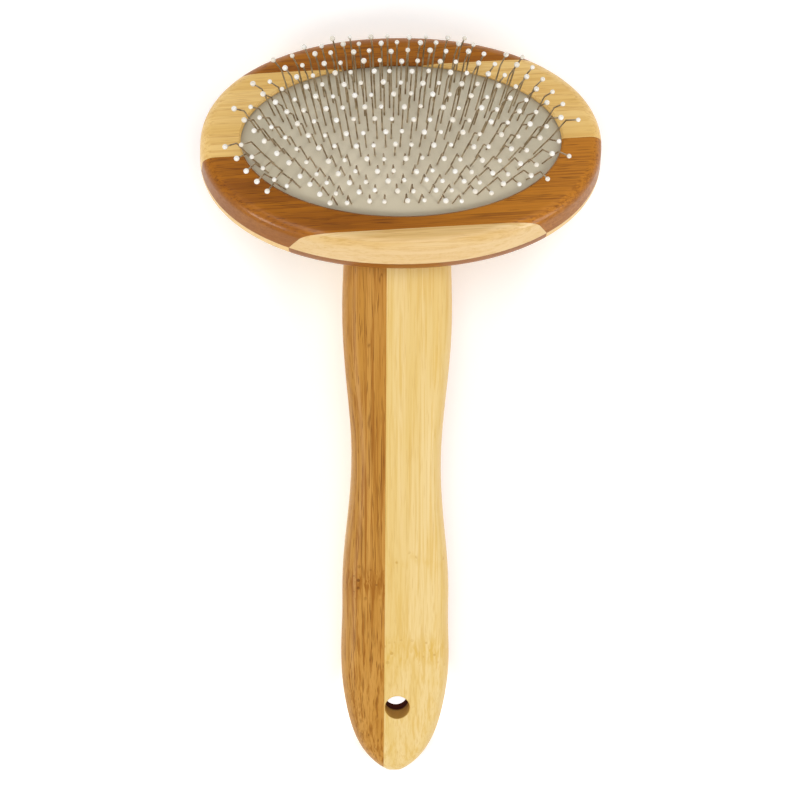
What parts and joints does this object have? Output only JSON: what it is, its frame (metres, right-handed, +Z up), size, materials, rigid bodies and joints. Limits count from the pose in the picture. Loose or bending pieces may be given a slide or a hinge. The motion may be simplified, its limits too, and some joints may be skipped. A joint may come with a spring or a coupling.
{
  "type": "slicker brush",
  "caption": "Pet slicker brush with an oval laminated bamboo head, a domed rubber pin cushion, knee-bent wire pins with ball tips, and a raked bamboo handle with a hanging hole.",
  "frame": {"origin": "centre of the brush's box in plan, on the table it lies on", "axes": "lying on its back with the pins up: +X across the brush, +Y from the handle's tip to the head, +Z up"},
  "size_m": [0.1002, 0.1926, 0.053],
  "materials": {
    "bamboo_light": "satin",
    "bamboo_dark": "satin",
    "handle_light": "satin",
    "handle_dark": "satin",
    "screw_steel": "satin",
    "cushion_rubber": "matte",
    "backing_canvas": "matte",
    "pin_wire": "satin",
    "tip_bead": "gloss"
  },
  "bodies": {
    "brush": {"face_left_end": "bamboo_light", "face_right_end": "bamboo_light", "face_front_crescent": "bamboo_light", "back_rear_crescent": "bamboo_light", "back_front_strip": "bamboo_light", "face_rear_crescent": "bamboo_dark", "face_middle_band": "bamboo_dark", "back_rear_strip": "bamboo_dark", "back_front_crescent": "bamboo_dark", "handle_front_right": "handle_light", "handle_back_left": "handle_light", "handle_front_left": "handle_dark", "handle_back_right": "handle_dark", "handle_screw_left": "screw_steel", "handle_screw_right": "screw_steel"},
    "pin_field": {"rubber_cushion": "cushion_rubber", "canvas_backing": "backing_canvas", "pin_row_01": "pin_wire", "pin_row_02": "pin_wire", "pin_row_03": "pin_wire", "pin_row_04": "pin_wire", "pin_row_05": "pin_wire", "pin_row_06": "pin_wire", "pin_row_07": "pin_wire", "pin_row_08": "pin_wire", "pin_row_09": "pin_wire", "pin_row_10": "pin_wire", "pin_row_11": "pin_wire", "pin_row_12": "pin_wire", "pin_row_13": "pin_wire", "pin_row_14": "pin_wire", "pin_row_15": "pin_wire", "pin_row_16": "pin_wire", "ball_tips_01": "tip_bead", "ball_tips_02": "tip_bead", "ball_tips_03": "tip_bead", "ball_tips_04": "tip_bead", "ball_tips_05": "tip_bead", "ball_tips_06": "tip_bead", "ball_tips_07": "tip_bead", "ball_tips_08": "tip_bead", "ball_tips_09": "tip_bead", "ball_tips_10": "tip_bead", "ball_tips_11": "tip_bead", "ball_tips_12": "tip_bead", "ball_tips_13": "tip_bead", "ball_tips_14": "tip_bead", "ball_tips_15": "tip_bead", "ball_tips_16": "tip_bead"}
  },
  "joints": [
    {"name": "pad_press", "type": "slide", "parent": "brush", "child": "pin_field", "axis": [0, -0.5277, -0.8494], "range_m": [0, 0.0015], "stiffness_N_per_m": 4000, "deforming": ["rubber_cushion"]}
  ]
}
